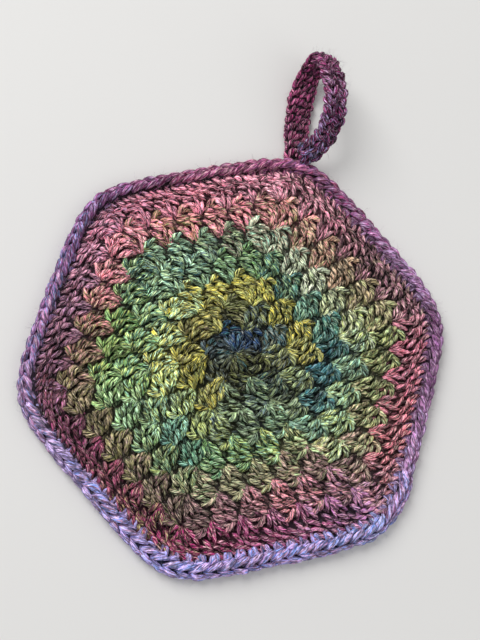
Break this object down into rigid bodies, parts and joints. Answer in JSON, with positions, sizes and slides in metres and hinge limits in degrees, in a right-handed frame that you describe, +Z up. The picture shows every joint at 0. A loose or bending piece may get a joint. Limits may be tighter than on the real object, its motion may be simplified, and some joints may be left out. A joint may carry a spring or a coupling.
{
  "type": "crocheted pot holder",
  "caption": "Flat hexagonal pot holder crocheted in fan-stitch rounds, with a braided edging and a flat hanging loop at one corner.",
  "frame": {"origin": "centre of the first crocheted round, on the flat underside", "axes": "+Z up out of the worked face, +Y towards the side beside the loop's corner, +X to its right; the loop leaves its corner 20 degrees from +Y towards +X"},
  "size_m": [0.197, 0.2412, 0.0302],
  "materials": {
    "panel_yarn": "matt plied wool, shading from navy and mustard through green to rose and plum",
    "edging_yarn": "matt plied wool, plum to purple to lilac blue",
    "loop_yarn": "matt plied wool, deep plum with mauve flecks"
  },
  "bodies": {
    "root": {"panel": "panel_yarn", "edging": "edging_yarn", "hanging_loop": "loop_yarn"}
  },
  "joints": []
}
